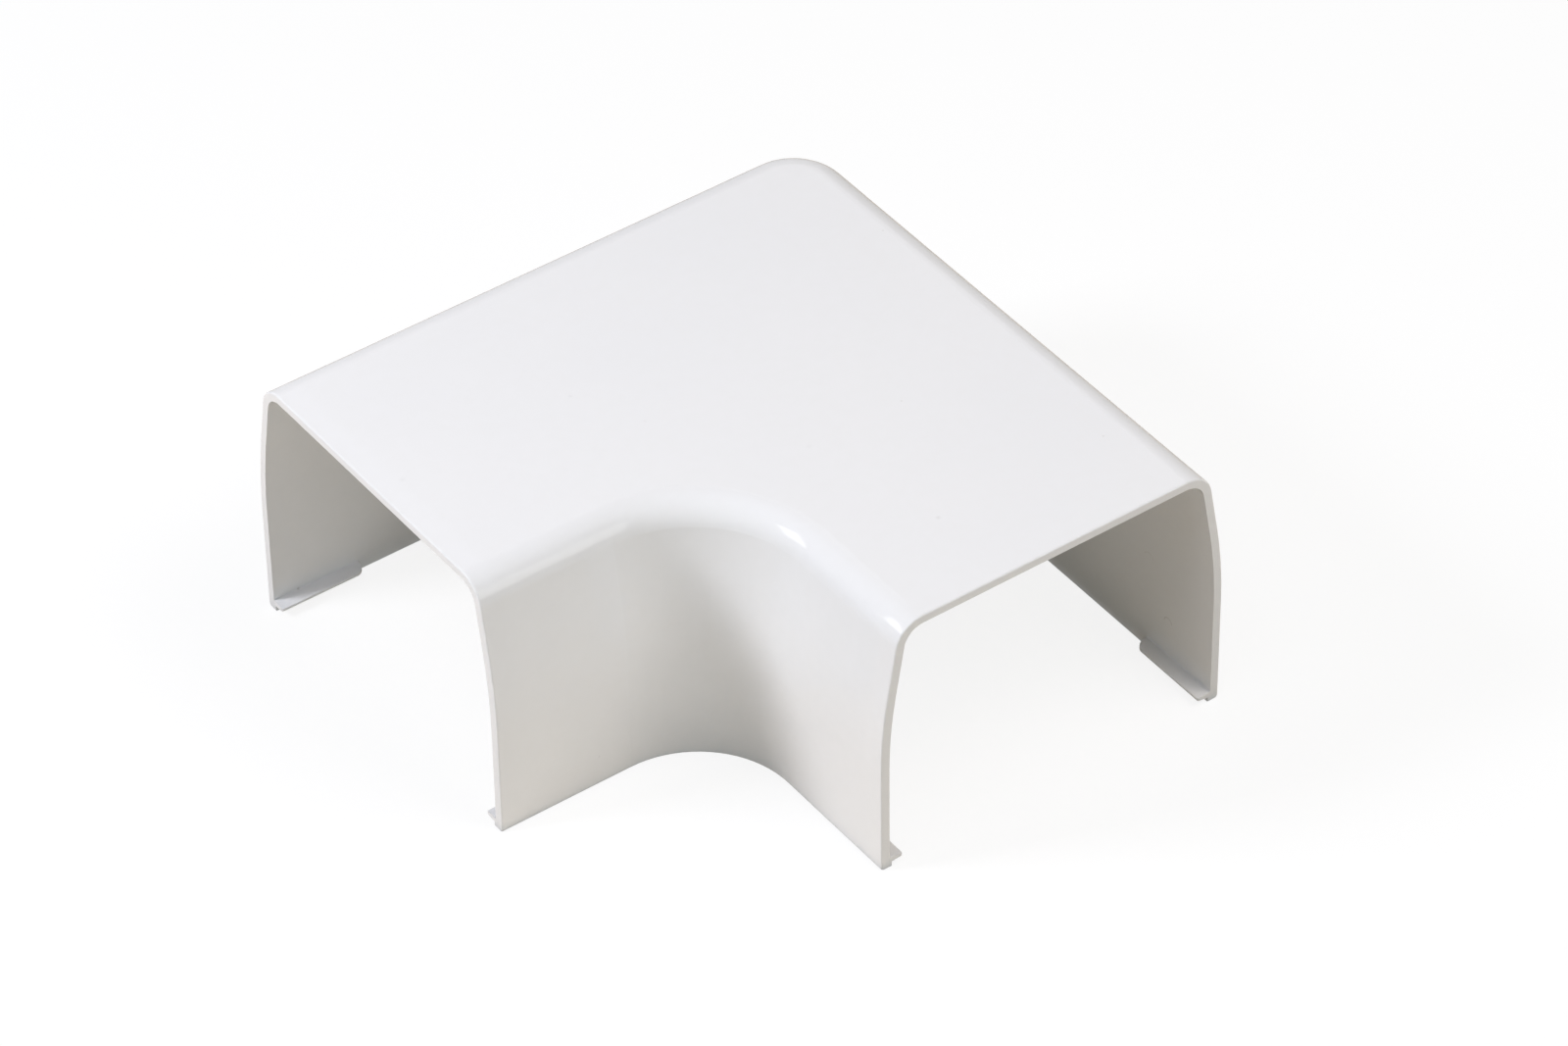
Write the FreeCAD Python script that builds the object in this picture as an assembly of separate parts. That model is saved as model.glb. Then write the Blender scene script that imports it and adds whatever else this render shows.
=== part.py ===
import FreeCAD, Part
import math
import os

# Flat angle for cable trunking: the cover for a right-angle turn of a run fixed to a flat wall.
# It is one moulding, open underneath and at the end of each leg, and it snaps over the run
# with four lips. One side-wall section is carried round the whole plan.
# Lengths are in millimetres and angles in degrees. The wall behind the cover is the plane z = 0.

# Overall form
width = 79.0                  # across a leg, between the outside faces of its two walls at the foot
leg_reach = 129.0             # outside face of the far wall to the open end, the same for both legs
height = 58.2                 # wall plane to the top face
side_wall = 1.9
top_wall = 1.8
outer_corner_radius = 15.5    # outside face at the foot, in plan
inner_corner_radius = 20.8    # outside face at the foot, in plan

# Section of a side wall, which stands upright from the foot to the knee
upper_lean = 9.8              # away from upright, from the knee to the shoulder
knee_height = 33.6
knee_radius = 105.0           # outside face
shoulder_radius = 6.0         # outside face, where the side turns into the top
inner_shoulder_radius = 4.3
foot_edge_radius = 0.8        # outside edge of the foot
end_edge_radius = 0.35        # outside edge round each open end

# Snap lips, one inside each wall at each open end
lip_length = 19.2             # along the wall, from the open end
lip_depth = 3.0               # inwards from the wall's inside face
lip_top = 2.4                 # above the wall plane, at the root
lip_drop = 0.3                # fall of the lip's top from its root to its tip
lip_tip_thickness = 0.6
lip_root_thickness = 1.15
lip_root_radius = 0.25        # hollow between the lip and the wall
lip_edge_radius = 0.2         # along the tip
lip_front_radius = 0.4        # tip corner at the open end, in plan
lip_back_radius = 2.4         # tip corner at the inner end, in plan
heel_depth = 0.5              # thickening of the foot under the lip

# Overlap that joins the side-wall section to the top plate, past the end of the shoulder
plate_lap = 1.0

half = width / 2
inner_face = half - side_wall                   # centreline to the inside of a wall, up to the knee
wall_middle = half - side_wall / 2
leg_end = leg_reach - half                      # crossing of the centrelines to an open end
outer_centre = -(half - outer_corner_radius)    # centre of the outer corner, on the diagonal
inner_centre = half + inner_corner_radius       # centre of the inner corner, on the diagonal
up = FreeCAD.Vector(0, 0, 1)
diagonal = FreeCAD.Vector(1, -1, 0)             # normal of the plane of symmetry


def flat(x, y):
    """Point in plan."""
    return FreeCAD.Vector(x, y, 0)


def across(u, z):
    """Point of a section: u is the distance from the leg's centreline."""
    return FreeCAD.Vector(u, 0, z)


def rounded_face(corners):
    """Face inside a closed run of (point, radius) corners, each turned by a tangent arc."""
    count = len(corners)
    starts = []
    ends = []
    arcs = []
    for i in range(count):
        here, radius = corners[i]
        back = (corners[i - 1][0] - here).normalize()
        ahead = (corners[(i + 1) % count][0] - here).normalize()
        if radius == 0:
            starts.append(here)
            ends.append(here)
            arcs.append(None)
            continue
        half_angle = back.getAngle(ahead) / 2
        run = radius / math.tan(half_angle)
        inward = (back + ahead).normalize()
        middle = here + inward * (radius / math.sin(half_angle) - radius)
        starts.append(here + back * run)
        ends.append(here + ahead * run)
        arcs.append(Part.Arc(starts[i], middle, ends[i]).toShape())
    edges = []
    for i in range(count):
        if arcs[i]:
            edges.append(arcs[i])
        edges.append(Part.LineSegment(ends[i], starts[(i + 1) % count]).toShape())
    return Part.Face(Part.Wire(edges))


def upper_face(z, depth):
    """Distance from the centreline to the upper wall, depth below its outside face."""
    lean = math.radians(upper_lean)
    return half - depth / math.cos(lean) - (z - knee_height) * math.tan(lean)


def knee(depth):
    """Where the lower and upper faces at this depth would meet if the knee were sharp."""
    drop = depth * math.tan(math.radians(upper_lean) / 2)
    return across(half - depth, knee_height - drop)


def plate_edge():
    """Distance from the centreline at which the side-wall section stops and the plate takes over."""
    bend = math.tan(math.radians(90 - upper_lean) / 2)
    outside = upper_face(height, 0) - shoulder_radius * bend
    inside = upper_face(height - top_wall, side_wall) - inner_shoulder_radius * bend
    return min(outside, inside) - plate_lap


def side_section():
    """Section of a side wall, from the foot over the knee and shoulder into the top."""
    underside = height - top_wall
    joint = plate_edge()
    return rounded_face([
        (across(half, 0), foot_edge_radius),
        (knee(0), knee_radius),
        (across(upper_face(height, 0), height), shoulder_radius),
        (across(joint, height), 0),
        (across(joint, underside), 0),
        (across(upper_face(underside, side_wall), underside), inner_shoulder_radius),
        (knee(side_wall), knee_radius - side_wall),
        (across(inner_face, 0), 0),
    ])


def placed(section, side, x):
    """Section stood across the leg along +X, on its outer side (-1) or its inner side (+1)."""
    face = section.copy()
    face.rotate(flat(0, 0), up, side * 90)
    face.translate(flat(x, 0))
    return face


def straight_walls(section):
    """Both walls of the leg along +X, up to where the corners begin."""
    outer = placed(section, -1, outer_centre).extrude(flat(leg_end - outer_centre, 0))
    inner = placed(section, 1, inner_centre).extrude(flat(leg_end - inner_centre, 0))
    return [outer, inner]


def corner_walls(section):
    """The same section turned a quarter about the centre of each corner."""
    outer = placed(section, -1, outer_centre).revolve(flat(outer_centre, outer_centre), up, -90)
    inner = placed(section, 1, inner_centre).revolve(flat(inner_centre, inner_centre), up, -90)
    return [outer, inner]


def top_plate():
    """Flat top in the shape of the L, meeting the side walls past their shoulders."""
    edge = plate_edge()
    set_in = half - edge
    outline = rounded_face([
        (flat(-edge, -edge), outer_corner_radius - set_in),
        (flat(leg_end, -edge), 0),
        (flat(leg_end, edge), 0),
        (flat(edge, edge), inner_corner_radius + set_in),
        (flat(edge, leg_end), 0),
        (flat(-edge, leg_end), 0),
    ])
    outline.translate(FreeCAD.Vector(0, 0, height - top_wall))
    return outline.extrude(up * top_wall)


def lip_section():
    """Section of a snap lip, rooted in the middle of the wall, with its heel down to the foot."""
    tip = inner_face - lip_depth
    heel = inner_face - heel_depth
    heel_top = lip_top - lip_root_thickness
    tip_top = lip_top - lip_drop
    hollow_top = lip_top + 2 * lip_root_radius
    return rounded_face([
        (across(wall_middle, 0), 0),
        (across(heel, 0), 0),
        (across(heel, heel_top), 0),
        (across(tip, tip_top - lip_tip_thickness), lip_edge_radius),
        (across(tip, tip_top), lip_edge_radius),
        (across(inner_face, lip_top), lip_root_radius),
        (across(inner_face, hollow_top), 0),
        (across(wall_middle, hollow_top), 0),
    ])


def lip_plan(side):
    """Plan of a snap lip, with its two tip corners rounded."""
    root = side * wall_middle
    tip = side * (inner_face - lip_depth)
    return rounded_face([
        (flat(leg_end - lip_length, root), 0),
        (flat(leg_end, root), 0),
        (flat(leg_end, tip), lip_front_radius),
        (flat(leg_end - lip_length, tip), lip_back_radius),
    ])


def snap_lips():
    """The two lips at the open end of the leg along +X."""
    lips = []
    for side in (-1, 1):
        bar = placed(lip_section(), side, leg_end - lip_length).extrude(flat(lip_length, 0))
        block = lip_plan(side).extrude(up * height)
        lips.append(bar.common(block))
    return lips


def mirrored(shapes):
    """The same pieces on the other leg."""
    return [shape.mirror(flat(0, 0), diagonal) for shape in shapes]


def on_outside(edge):
    """Whether an edge of an open end lies on the outside of the cover."""
    spot = edge.valueAt((edge.FirstParameter + edge.LastParameter) / 2)
    if spot.z > height - top_wall / 2:
        return True
    u = min(abs(spot.x), abs(spot.y))
    return u > min(wall_middle, upper_face(spot.z, side_wall / 2))


def end_edges(shape):
    """Outside edges of both open ends."""
    close = 1e-4
    found = []
    for edge in shape.Edges:
        box = edge.BoundBox
        at_x_end = box.XMin > leg_end - close
        at_y_end = box.YMin > leg_end - close
        if (at_x_end or at_y_end) and on_outside(edge):
            found.append(edge)
    return found


def flat_angle_cover():
    """The whole moulding, with its origin at the middle of its foot's bounding square."""
    section = side_section()
    leg = straight_walls(section) + snap_lips()
    pieces = leg + mirrored(leg) + corner_walls(section)
    shell = top_plate().fuse(pieces).removeSplitter()
    shell = shell.makeFillet(end_edge_radius, end_edges(shell))
    middle = (leg_end - half) / 2
    shell.translate(flat(-middle, -middle))
    return shell


os.makedirs("parts", exist_ok=True)
cover = flat_angle_cover()
print("valid", cover.isValid(), "solids", len(cover.Solids), "faces", len(cover.Faces))
print("volume", round(cover.Volume, 1), "box", cover.optimalBoundingBox(True, False))
cover.exportStep("parts/flat_angle_cover.step")
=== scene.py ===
import bpy
import math
from mathutils import Matrix, Vector


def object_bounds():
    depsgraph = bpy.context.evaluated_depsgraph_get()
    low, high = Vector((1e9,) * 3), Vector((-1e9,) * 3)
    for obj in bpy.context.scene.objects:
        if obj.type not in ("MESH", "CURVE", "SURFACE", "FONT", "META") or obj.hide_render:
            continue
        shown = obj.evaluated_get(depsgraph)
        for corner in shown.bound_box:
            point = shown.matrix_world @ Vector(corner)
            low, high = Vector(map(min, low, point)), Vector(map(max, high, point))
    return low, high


# Flat angle of white glossy plastic on a pale studio floor. Lengths are in metres and angles in
# degrees, unless a comment says otherwise.
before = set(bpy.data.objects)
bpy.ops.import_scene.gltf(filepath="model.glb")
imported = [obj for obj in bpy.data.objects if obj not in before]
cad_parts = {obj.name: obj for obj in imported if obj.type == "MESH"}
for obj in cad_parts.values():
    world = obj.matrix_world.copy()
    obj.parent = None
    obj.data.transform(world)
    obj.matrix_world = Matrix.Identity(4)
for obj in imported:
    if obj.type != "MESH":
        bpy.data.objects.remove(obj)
cad_low, cad_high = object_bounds()
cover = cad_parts["flat_angle_cover"]

# Camera: the point that it looks at, where it stands as seen from there, and its lens, which is
# in millimetres as the sensor's width is
aim = Vector((-0.00905, 0.00245, (cad_low.z + cad_high.z) / 2))
view_azimuth = 54.428
view_elevation = 41.24
view_roll = 0.805
view_distance = 1.3186
view_clip = (0.05, 50.0)
lens_mm = 161.46
sensor_mm = 36.0

# Lamps that light the part: name, azimuth, elevation, distance, width, height, watts, colour
softboxes = (
    ("key_softbox", -25, 37, 1.0, 0.27, 0.27, 6.67, (0.915, 0.935, 1.0)),
    ("right_softbox", 125, 56, 1.0, 0.6, 0.5, 4.78, (1.0, 0.935, 0.87)),
    ("low_right_softbox", 118, 27, 1.0, 0.55, 0.5, 0.44, (0.4, 0.7, 1.0)),
    ("fill_softbox", 25, 62, 1.0, 0.4, 0.4, 1.61, (0.89, 0.91, 1.0)),
    ("front_softbox", 60, 8, 1.4, 0.6, 0.3, 1.67, (0.72, 0.94, 1.0)),
    ("side_softbox", 180, 28, 1.0, 0.6, 0.4, 0.63, (1.0, 1.0, 1.0)),
)

# Cards that only show in its gloss: name, azimuth, elevation, distance, width, height, brightness
gloss_cards = (
    ("highlight_card", -27, 31.5, 1.0, 0.28, 0.37, 3.0),
    ("right_card", 118, 22, 1.0, 0.55, 0.5, 1.8),
    ("back_card", -124, 41, 1.0, 0.5, 0.5, 0.5),
)

# Surroundings: white where they are seen, and dim as a light
pure_white = (1.0, 1.0, 1.0, 1.0)
backdrop_strength = 1.0
ambient_strength = 0.03

# Floor: how far it reaches each way, and how far it lies under the foot
floor_reach = 3.0
floor_gap = 0.00005

# Floor that is seen: how much of it glows, and how much is lit and so takes the shadow
floor_glow = 0.85
floor_lit = (0.17, 0.17, 0.17, 1.0)

# Floor that lights the part: its colour, a dim glow right under the foot, without which the foot
# would be black from below, and the distances between which that glow fades out
floor_bounce = (0.79, 0.71, 0.60, 1.0)
contact_glow = (0.30, 0.29, 0.27, 1.0)
contact_gap = (0.001, 0.003)

# Distances between which the floor that shows in gloss turns from the lit one into the white one
floor_gloss = (0.15, 0.30)

# Colours of the moulding: two whites, a mottle over them, and dust
first_white = (0.853, 0.855, 0.864, 1.0)
second_white = (0.872, 0.871, 0.874, 1.0)
mottle_tone = (0.845, 0.843, 0.842, 1.0)
mottle_most = 0.35
dust = (0.36, 0.34, 0.31, 1.0)

# Fine finish of the moulding. A scale is a number of features in a metre.
drift_scale = 16.0
mottle_scale = 420.0
smudge_scale = 38.0
gloss_roughness = (0.045, 0.085)
swell_scale = 34.0
swell_depth = 0.00005
ripple_scale = 900.0
ripple_depth = 0.0000015
plastic_ior = 1.5

# Specks of dust: cells in a metre, the share of them that hold no speck, then a speck's largest
# radius and its soft edge as shares of a cell's width, and how dark it is
speck_scale = 330.0
speck_rarity = 0.93
speck_radius = 0.085
speck_edge = 0.03
speck_dark = 0.25

# Parts of a noise's range that are spread over the whole range of what it drives
noise_middle = (0.3, 0.7)
noise_upper = (0.35, 0.75)

# Marks left on this one: place in millimetres, radius in millimetres, and how dark
smudges = (
    ((-51, 45, 58.2), 0.4, 0.22),
    ((-13, 45, 58.2), 0.7, 0.16),
    ((21, -23, 58.2), 0.6, 0.08),
    ((14, -9, 58.2), 0.5, 0.06),
    ((-6, 15, 58.2), 1.0, 0.05),
    ((59, -22, 58.2), 0.8, 0.07),
    ((14.5, 59, 52.7), 0.9, 0.10),
    ((59, -62.6, 2.5), 0.5, 0.50),
    ((58, -62.6, 44.5), 0.5, 0.30),
)

# Curled hairs: middle of the curl, its radius and the height above which it lies, all in
# millimetres, and how dark
hairs = (
    ((-62.6, 51.4, 10.4), 1.1, 10.5, 0.55),
    ((-62.6, 45.2, 22.0), 1.5, 22.6, 0.30),
)
hair_thickness = 0.00018

mm_per_metre = 1000

# Roll-off of the walls and the top at each open end: how far it reaches and how deep it is
leg_end = cad_high.x
roll_off_reach = 0.0055
roll_off_depth = 0.00018


def direction(azimuth, elevation):
    """Unit vector away from the object; azimuth 0 is +X and 90 is +Y, in degrees."""
    a = math.radians(azimuth)
    e = math.radians(elevation)
    return Vector((math.cos(a) * math.cos(e), math.sin(a) * math.cos(e), math.sin(e)))


def studio_camera():
    """Camera at the viewing angle, turned a little about its own axis."""
    data = bpy.data.cameras.new("studio_camera")
    data.sensor_width = sensor_mm
    data.lens = lens_mm
    data.clip_start, data.clip_end = view_clip
    camera = bpy.data.objects.new("studio_camera", data)
    back = direction(view_azimuth, view_elevation)
    level_right = Vector((0, 0, 1)).cross(back).normalized()
    level_up = back.cross(level_right)
    turn = math.radians(view_roll)
    right = level_right * math.cos(turn) - level_up * math.sin(turn)
    axes = Matrix((right, back.cross(right), back)).transposed()
    camera.matrix_world = Matrix.Translation(aim + back * view_distance) @ axes.to_4x4()
    bpy.context.scene.collection.objects.link(camera)
    bpy.context.scene.camera = camera


def softbox(name, azimuth, elevation, distance, width, height, watts, colour=(1.0, 1.0, 1.0)):
    """Rectangular lamp that faces the object and lights it, but doesn't show in its gloss."""
    data = bpy.data.lights.new(name, "AREA")
    data.shape = "RECTANGLE"
    data.size = width
    data.size_y = height
    data.energy = watts
    data.color = colour
    lamp = bpy.data.objects.new(name, data)
    away = direction(azimuth, elevation)
    facing = away.to_track_quat("Z", "Y").to_matrix()
    lamp.matrix_world = Matrix.Translation(aim + away * distance) @ facing.to_4x4()
    lamp.visible_glossy = False
    bpy.context.scene.collection.objects.link(lamp)
    return lamp


def gloss_card(name, azimuth, elevation, distance, width, height, brightness):
    """Rectangle that only shows in the object's gloss; white has a brightness of 1."""
    watts = brightness * math.pi * width * height
    card = softbox(name, azimuth, elevation, distance, width, height, watts)
    card.visible_glossy = True
    card.visible_diffuse = False


def new_material(name):
    """Empty node material: itself, its node tree and its output node."""
    material = bpy.data.materials.new(name)
    material.use_nodes = True
    material.node_tree.nodes.clear()
    output = material.node_tree.nodes.new("ShaderNodeOutputMaterial")
    return material, material.node_tree, output


def noise(tree, place, scale, detail, roughness=0.5):
    """Noise texture on the object's own coordinates: its 0 to 1 value."""
    node = tree.nodes.new("ShaderNodeTexNoise")
    node.inputs["Scale"].default_value = scale
    node.inputs["Detail"].default_value = detail
    node.inputs["Roughness"].default_value = roughness
    tree.links.new(place, node.inputs["Vector"])
    return node.outputs["Fac"]


def remap(tree, value, low, high, to_low, to_high, curve="LINEAR"):
    """Value carried from one range to another, held inside the second."""
    node = tree.nodes.new("ShaderNodeMapRange")
    node.interpolation_type = curve
    node.inputs["From Min"].default_value = low
    node.inputs["From Max"].default_value = high
    node.inputs["To Min"].default_value = to_low
    node.inputs["To Max"].default_value = to_high
    tree.links.new(value, node.inputs["Value"])
    return node.outputs["Result"]


def bump(tree, height, depth, normal=None):
    """Normal bent by a 0 to 1 height, which is as many metres deep as stated."""
    node = tree.nodes.new("ShaderNodeBump")
    node.inputs["Strength"].default_value = 1.0
    node.inputs["Distance"].default_value = abs(depth)
    node.invert = depth < 0
    tree.links.new(height, node.inputs["Height"])
    if normal:
        tree.links.new(normal, node.inputs["Normal"])
    return node.outputs["Normal"]


def combine(tree, operation, *values):
    """One value from one or more, by a sum, a product or the like; each is a float or an output."""
    node = tree.nodes.new("ShaderNodeMath")
    node.operation = operation
    for socket, value in zip(node.inputs, values):
        if isinstance(value, float):
            socket.default_value = value
        else:
            tree.links.new(value, socket)
    return node.outputs["Value"]


def blend(tree, factor, first, second):
    """Colour between two others; each is a colour or an output."""
    node = tree.nodes.new("ShaderNodeMix")
    node.data_type = "RGBA"
    tree.links.new(factor, node.inputs["Factor"])
    for name, value in (("A", first), ("B", second)):
        socket = [s for s in node.inputs if s.name == name and s.type == "RGBA"][0]
        if isinstance(value, tuple):
            socket.default_value = value
        else:
            tree.links.new(value, socket)
    return [s for s in node.outputs if s.type == "RGBA"][0]


def reach_from(tree, place, point):
    """Distance from a point given in millimetres."""
    node = tree.nodes.new("ShaderNodeVectorMath")
    node.operation = "DISTANCE"
    tree.links.new(place, node.inputs[0])
    node.inputs[1].default_value = [v / mm_per_metre for v in point]
    return node.outputs["Value"]


def fade(tree, distance, reach, dark):
    """Darkness that falls softly from its full value to nothing at a distance."""
    return remap(tree, distance, 0.0, reach, dark, 0.0, "SMOOTHSTEP")


def marks(tree, place, height):
    """How dark each smudge and hair leaves the surface."""
    shade = None
    for point, radius, dark in smudges:
        spot = fade(tree, reach_from(tree, place, point), radius / mm_per_metre, dark)
        shade = combine(tree, "MAXIMUM", shade, spot) if shade else spot
    for point, radius, above, dark in hairs:
        off = combine(tree, "SUBTRACT", reach_from(tree, place, point), radius / mm_per_metre)
        line = fade(tree, combine(tree, "ABSOLUTE", off), hair_thickness, dark)
        kept = combine(tree, "GREATER_THAN", height, above / mm_per_metre)
        shade = combine(tree, "MAXIMUM", shade, combine(tree, "MULTIPLY", line, kept))
    return shade


def specks(tree, place):
    """How dark each speck of dust is: a few small round ones, far apart."""
    cells = tree.nodes.new("ShaderNodeTexVoronoi")
    cells.inputs["Scale"].default_value = speck_scale
    tree.links.new(place, cells.inputs["Vector"])
    chance = tree.nodes.new("ShaderNodeSeparateColor")
    tree.links.new(cells.outputs["Color"], chance.inputs["Color"])
    reach = remap(tree, chance.outputs["Red"], speck_rarity, 1.0, 0.0, speck_radius)
    inside = combine(tree, "SUBTRACT", reach, cells.outputs["Distance"])
    return remap(tree, inside, 0.0, speck_edge, 0.0, speck_dark)


def glossy_white_moulding():
    """Glossy white moulded plastic: faint cloudiness, a fine skin and a few specks of dust."""
    material, tree, output = new_material("glossy_white_moulding")
    place = tree.nodes.new("ShaderNodeTexCoord").outputs["Object"]
    shader = tree.nodes.new("ShaderNodeBsdfPrincipled")
    shader.inputs["IOR"].default_value = plastic_ior
    axes = tree.nodes.new("ShaderNodeSeparateXYZ")
    tree.links.new(place, axes.inputs["Vector"])

    # Colour: a slow drift between two whites, a finer mottle, and then the dust and the marks
    drift = remap(tree, noise(tree, place, drift_scale, detail=3.0), *noise_middle, 0.0, 1.0)
    white = blend(tree, drift, first_white, second_white)
    mottle = remap(tree, noise(tree, place, mottle_scale, detail=2.0), *noise_upper, 0.0, mottle_most)
    white = blend(tree, mottle, white, mottle_tone)
    dirt = combine(tree, "MAXIMUM", specks(tree, place), marks(tree, place, axes.outputs["Z"]))
    tree.links.new(blend(tree, dirt, white, dust), shader.inputs["Base Color"])

    # Gloss: smudged a little, and dull on the dust and the marks
    smudge = noise(tree, place, smudge_scale, detail=4.0, roughness=0.6)
    rough = remap(tree, smudge, *noise_middle, *gloss_roughness)
    tree.links.new(combine(tree, "ADD", rough, dirt), shader.inputs["Roughness"])

    # Skin: a roll-off at the open ends, a slow swell and a fine ripple
    ends = [remap(tree, axes.outputs[name], leg_end - roll_off_reach, leg_end, 0.0, 1.0, "SMOOTHSTEP")
            for name in ("X", "Y")]
    normal = bump(tree, combine(tree, "ADD", *ends), -roll_off_depth)
    normal = bump(tree, noise(tree, place, swell_scale, detail=1.0), swell_depth, normal)
    normal = bump(tree, noise(tree, place, ripple_scale, detail=2.0), ripple_depth, normal)
    tree.links.new(normal, shader.inputs["Normal"])
    tree.links.new(shader.outputs["BSDF"], output.inputs["Surface"])
    return material


def matt(tree, colour):
    """Dull shader of one colour."""
    node = tree.nodes.new("ShaderNodeBsdfDiffuse")
    node.inputs["Color"].default_value = colour
    return node.outputs["BSDF"]


def glow(tree, colour, strength=1.0):
    """Shader that gives off light of one colour."""
    node = tree.nodes.new("ShaderNodeEmission")
    node.inputs["Color"].default_value = colour
    node.inputs["Strength"].default_value = strength
    return node.outputs["Emission"]


def mix(tree, factor, first, second):
    """Shader between two others: the first where the factor is 0, and the second where it is 1."""
    node = tree.nodes.new("ShaderNodeMixShader")
    tree.links.new(factor, node.inputs["Fac"])
    tree.links.new(first, node.inputs[1])
    tree.links.new(second, node.inputs[2])
    return node.outputs["Shader"]


def in_view(tree, rays, in_gloss):
    """1 to the camera and through what is clear, the stated amount in gloss, and 0 as a light."""
    seen = combine(tree, "MAXIMUM", rays.outputs["Is Camera Ray"], rays.outputs["Is Transmission Ray"])
    return combine(tree, "MAXIMUM", seen, in_gloss)


def floor_material():
    """Pale floor: white with a faint shadow to the camera and in gloss, and open from below."""
    material, tree, output = new_material("pale_floor")
    rays = tree.nodes.new("ShaderNodeLightPath")

    # As it is seen: a glow that makes it white, and a lit part that takes the shadow
    shown = tree.nodes.new("ShaderNodeAddShader")
    tree.links.new(glow(tree, pure_white, floor_glow), shown.inputs[0])
    tree.links.new(matt(tree, floor_lit), shown.inputs[1])

    # As it lights the part: a plain pale floor that glows a little right under the foot
    clear_of_foot = remap(tree, rays.outputs["Ray Length"], *contact_gap, 0.0, 1.0)
    bounce = mix(tree, clear_of_foot, glow(tree, contact_glow), matt(tree, floor_bounce))

    # In gloss it is the white one from some way off
    far = remap(tree, rays.outputs["Ray Length"], *floor_gloss, 0.0, 1.0)
    far_gloss = combine(tree, "MULTIPLY", rays.outputs["Is Glossy Ray"], far)
    from_above = mix(tree, in_view(tree, rays, far_gloss), bounce, shown.outputs["Shader"])

    # From below it is clear, so that the part's underside shows
    below = tree.nodes.new("ShaderNodeNewGeometry").outputs["Backfacing"]
    clear = tree.nodes.new("ShaderNodeBsdfTransparent").outputs["BSDF"]
    tree.links.new(mix(tree, below, from_above, clear), output.inputs["Surface"])
    return material


def studio_floor():
    """Plain pale floor under the part, a hair below its foot."""
    mesh = bpy.data.meshes.new("studio_floor")
    corners = [(x * floor_reach, y * floor_reach, -floor_gap)
               for x, y in ((-1, -1), (1, -1), (1, 1), (-1, 1))]
    mesh.from_pydata(corners, [], [(0, 1, 2, 3)])
    floor = bpy.data.objects.new("studio_floor", mesh)
    floor.data.materials.append(floor_material())
    bpy.context.scene.collection.objects.link(floor)


def surroundings(tree, strength):
    """Shader of a white world of one strength."""
    node = tree.nodes.new("ShaderNodeBackground")
    node.inputs["Color"].default_value = pure_white
    node.inputs["Strength"].default_value = strength
    return node.outputs["Background"]


def studio_world():
    """Even surroundings: white to the camera and in gloss, and dim as a light."""
    world = bpy.data.worlds.new("studio_world")
    world.use_nodes = True
    tree = world.node_tree
    tree.nodes.clear()
    output = tree.nodes.new("ShaderNodeOutputWorld")
    rays = tree.nodes.new("ShaderNodeLightPath")
    ambient = surroundings(tree, ambient_strength)
    backdrop = surroundings(tree, backdrop_strength)
    seen = in_view(tree, rays, rays.outputs["Is Glossy Ray"])
    tree.links.new(mix(tree, seen, ambient, backdrop), output.inputs["Surface"])
    bpy.context.scene.world = world


def dress(node, material):
    """Puts a material on every slot of a node."""
    for slot in node.material_slots:
        slot.link = "OBJECT"
        slot.material = material


bpy.context.scene.view_settings.view_transform = "Standard"
studio_camera()
studio_world()
studio_floor()
for lamp in softboxes:
    softbox(*lamp)
for card in gloss_cards:
    gloss_card(*card)
dress(cover, glossy_white_moulding())
